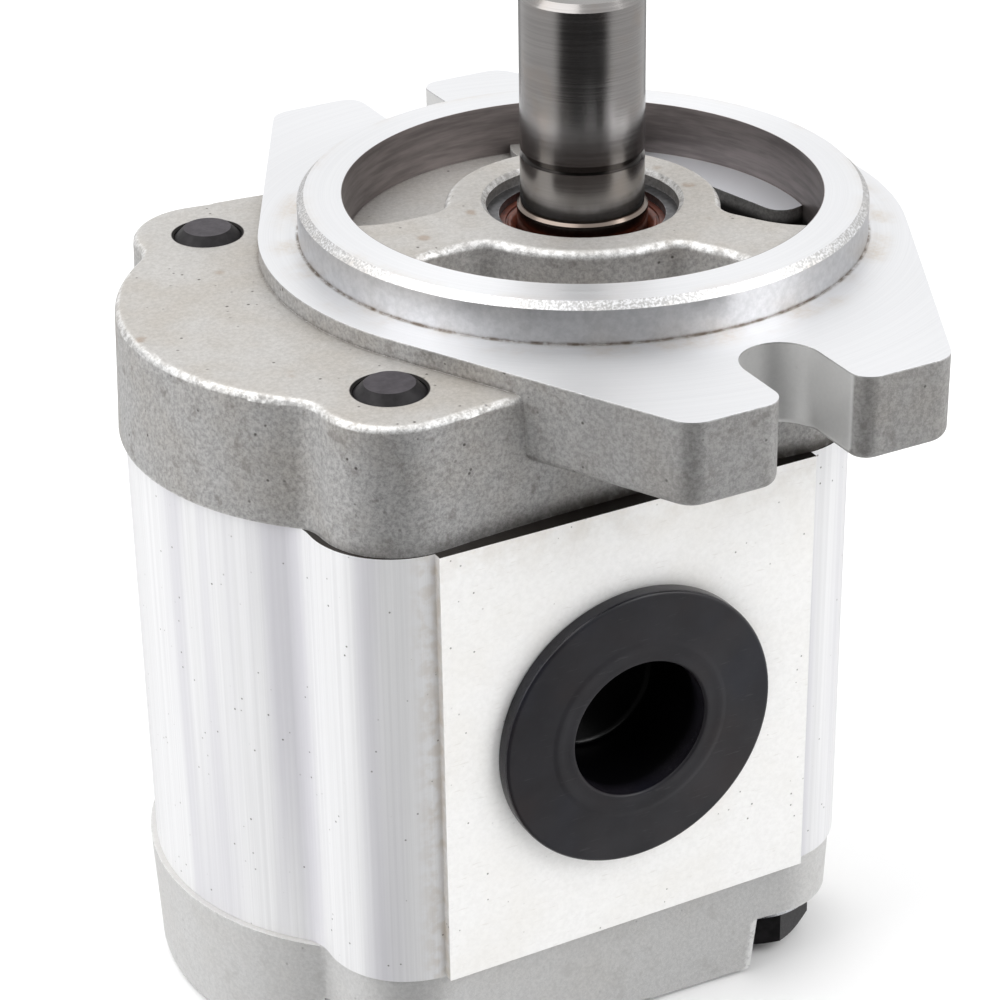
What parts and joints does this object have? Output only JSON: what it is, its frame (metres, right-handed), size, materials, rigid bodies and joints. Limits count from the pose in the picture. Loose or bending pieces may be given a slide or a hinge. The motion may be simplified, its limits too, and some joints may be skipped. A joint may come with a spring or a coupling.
{
  "type": "hydraulic gear pump",
  "caption": "External gear pump with a two-bolt slotted flange, round pilot, keyed shaft, extruded body and threaded side ports closed by black transport plugs.",
  "frame": {"origin": "centre of the pilot in the plane of the flange mounting face, on the drive shaft axis", "axes": "+Z out along the drive shaft, -X towards the driven gear, -Y out of the suction port, +Y out of the pressure port"},
  "size_m": [0.1182, 0.127, 0.1455],
  "materials": {
    "cast_aluminium": "as-cast, fine grained, machined on the mounting face and pilot",
    "extruded_aluminium": "bright extruded, fine drawing lines",
    "black_steel": "black oxide",
    "plated_steel": "zinc plated",
    "ground_steel": "hardened and ground",
    "key_steel": "bright drawn",
    "spring_steel": "phosphated",
    "seal_rubber": "red-brown fluorocarbon rubber",
    "black_plastic": "moulded, satin",
    "bearing_aluminium": "fine machined",
    "bearing_bronze": "lined bearing bronze",
    "black_rubber": "moulded nitrile",
    "white_plastic": "machined fluoropolymer"
  },
  "bodies": {
    "casing": {"front_cover": "cast_aluminium", "pump_body": "extruded_aluminium", "rear_cover": "cast_aluminium", "through_bolts": "black_steel", "bolt_washers": "plated_steel", "front_dowels": "ground_steel", "rear_dowels": "ground_steel", "shaft_seal_case": "seal_rubber", "shaft_seal_lip": "seal_rubber", "seal_garter_spring": "ground_steel", "seal_retaining_ring": "spring_steel", "front_bearing_block": "bearing_aluminium", "rear_bearing_block": "bearing_aluminium", "drive_bush_front": "bearing_bronze", "drive_bush_rear": "bearing_bronze", "driven_bush_front": "bearing_bronze", "driven_bush_rear": "bearing_bronze", "front_pressure_seal": "black_rubber", "rear_pressure_seal": "black_rubber", "front_backup_ring": "white_plastic", "rear_backup_ring": "white_plastic", "front_body_seal": "black_rubber", "rear_body_seal": "black_rubber"},
    "drive": {"drive_gear_shaft": "ground_steel", "shaft_key": "key_steel"},
    "driven": {"driven_gear_shaft": "ground_steel"},
    "inlet_cap": {"inlet_plug": "black_plastic"},
    "outlet_cap": {"outlet_plug": "black_plastic"}
  },
  "joints": [
    {"name": "drive_spin", "type": "hinge", "parent": "casing", "child": "drive", "pos_m": [0, 0, 0], "axis": [0, 0, 1], "continuous": true},
    {"name": "driven_spin", "type": "hinge", "parent": "casing", "child": "driven", "pos_m": [-0.034, 0, 0], "axis": [0, 0, 1], "continuous": true},
    {"name": "inlet_plug_pull", "type": "slide", "parent": "casing", "child": "inlet_cap", "axis": [0, -1, 0], "range_m": [0, 0.02]},
    {"name": "outlet_plug_pull", "type": "slide", "parent": "casing", "child": "outlet_cap", "axis": [0, 1, 0], "range_m": [0, 0.02]}
  ],
  "couplings": [
    {"joint": "driven_spin", "follows": "drive_spin", "ratio": -1}
  ]
}
